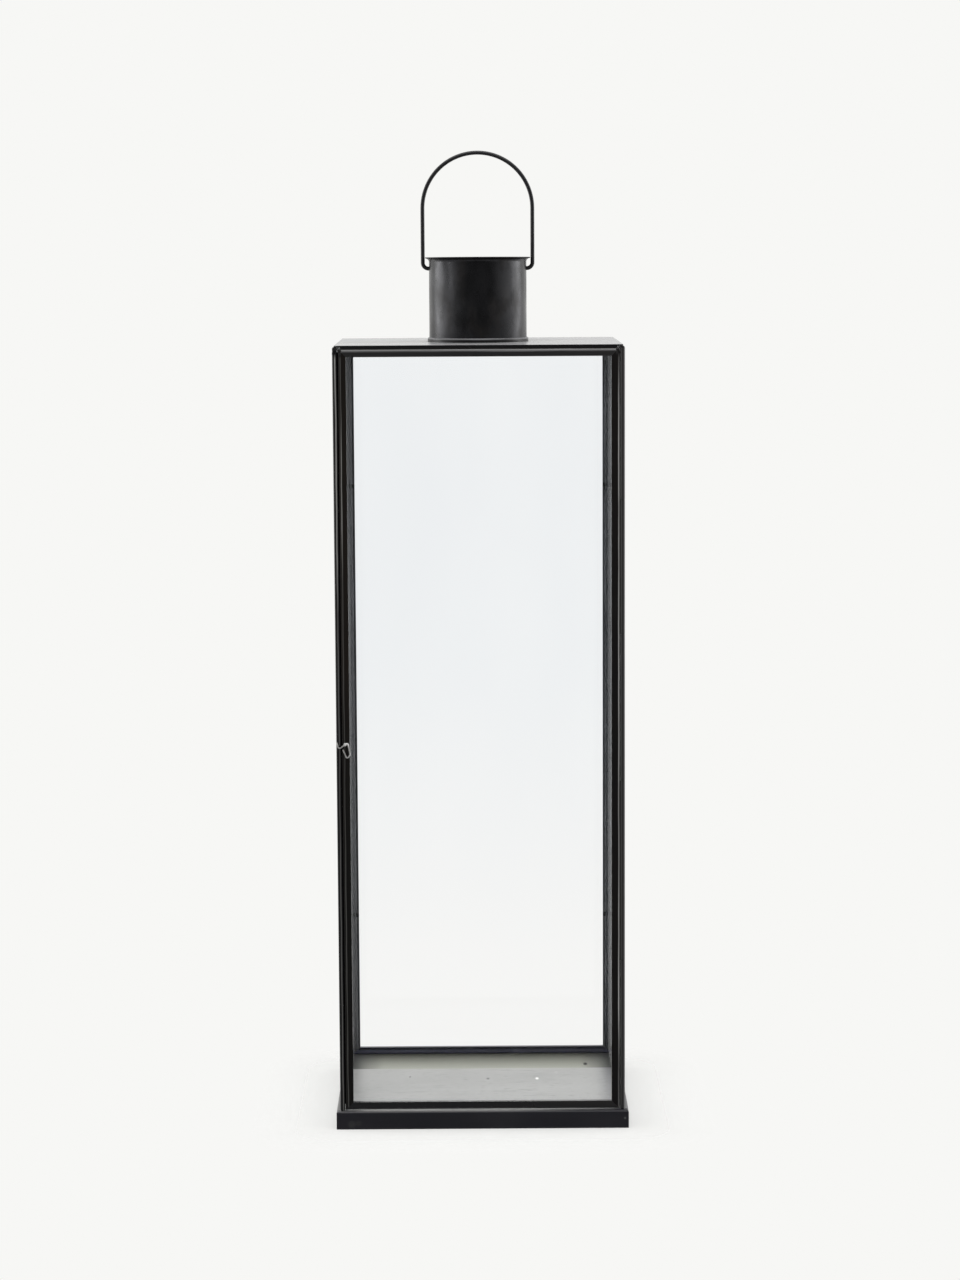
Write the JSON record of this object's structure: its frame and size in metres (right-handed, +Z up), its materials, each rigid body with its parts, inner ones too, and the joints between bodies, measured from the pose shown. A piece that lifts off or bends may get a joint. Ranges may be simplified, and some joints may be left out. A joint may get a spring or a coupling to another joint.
{
  "type": "candle lantern",
  "caption": "Tall rectangular candle lantern with glazed sides, a hinged glazed door with a wire latch, a flat roof, an open round chimney and a wire bail handle.",
  "frame": {"origin": "middle of the base's underside, on the surface that the lantern stands on", "axes": "+Z up, -Y out of the door, +X to the right as seen from the door, where the hinge is"},
  "size_m": [0.22, 0.1764, 0.7307],
  "materials": {
    "blackened_iron": "satin black oxidised sheet iron with faint rub marks",
    "clear_glass": "clear polished float glass",
    "latch_steel": "bright drawn steel wire"
  },
  "bodies": {
    "lantern_frame": {"back_bottom_rail": "blackened_iron", "back_glass": "clear_glass", "back_left_stile": "blackened_iron", "back_pane_tabs": "blackened_iron", "back_right_stile": "blackened_iron", "back_top_rail": "blackened_iron", "base_pan": "blackened_iron", "chimney_base_ring": "blackened_iron", "chimney_collar": "blackened_iron", "head_angle": "blackened_iron", "hinge_rod": "blackened_iron", "latch_keeper": "blackened_iron", "left_bottom_rail": "blackened_iron", "left_front_stile": "blackened_iron", "left_glass": "clear_glass", "left_pane_tabs": "blackened_iron", "left_rear_stile": "blackened_iron", "left_top_rail": "blackened_iron", "post_knuckles": "blackened_iron", "right_bottom_rail": "blackened_iron", "right_front_stile": "blackened_iron", "right_glass": "clear_glass", "right_pane_tabs": "blackened_iron", "right_rear_stile": "blackened_iron", "right_top_rail": "blackened_iron", "roof_plate": "blackened_iron"},
    "door": {"door_bottom_rail": "blackened_iron", "door_glass": "clear_glass", "door_hinge_stile": "blackened_iron", "door_knuckles": "blackened_iron", "door_latch_stile": "blackened_iron", "door_pane_tabs": "blackened_iron", "door_top_rail": "blackened_iron", "latch_pivot": "latch_steel"},
    "hook": {"latch_hook": "latch_steel"},
    "handle": {"bail": "blackened_iron"}
  },
  "joints": [
    {"name": "door_hinge", "type": "hinge", "parent": "lantern_frame", "child": "door", "pos_m": [0.10545, -0.0837, 0.3], "axis": [0, 0, 1], "range_deg": [0, 180]},
    {"name": "latch_turn", "type": "hinge", "parent": "door", "child": "hook", "pos_m": [-0.1007, -0.0863, 0.293], "axis": [0, -1, 0], "range_deg": [0, 85]},
    {"name": "bail_swing", "type": "hinge", "parent": "lantern_frame", "child": "handle", "pos_m": [0, 0, 0.6428], "axis": [1, 0, 0], "range_deg": [-125, 125]}
  ]
}
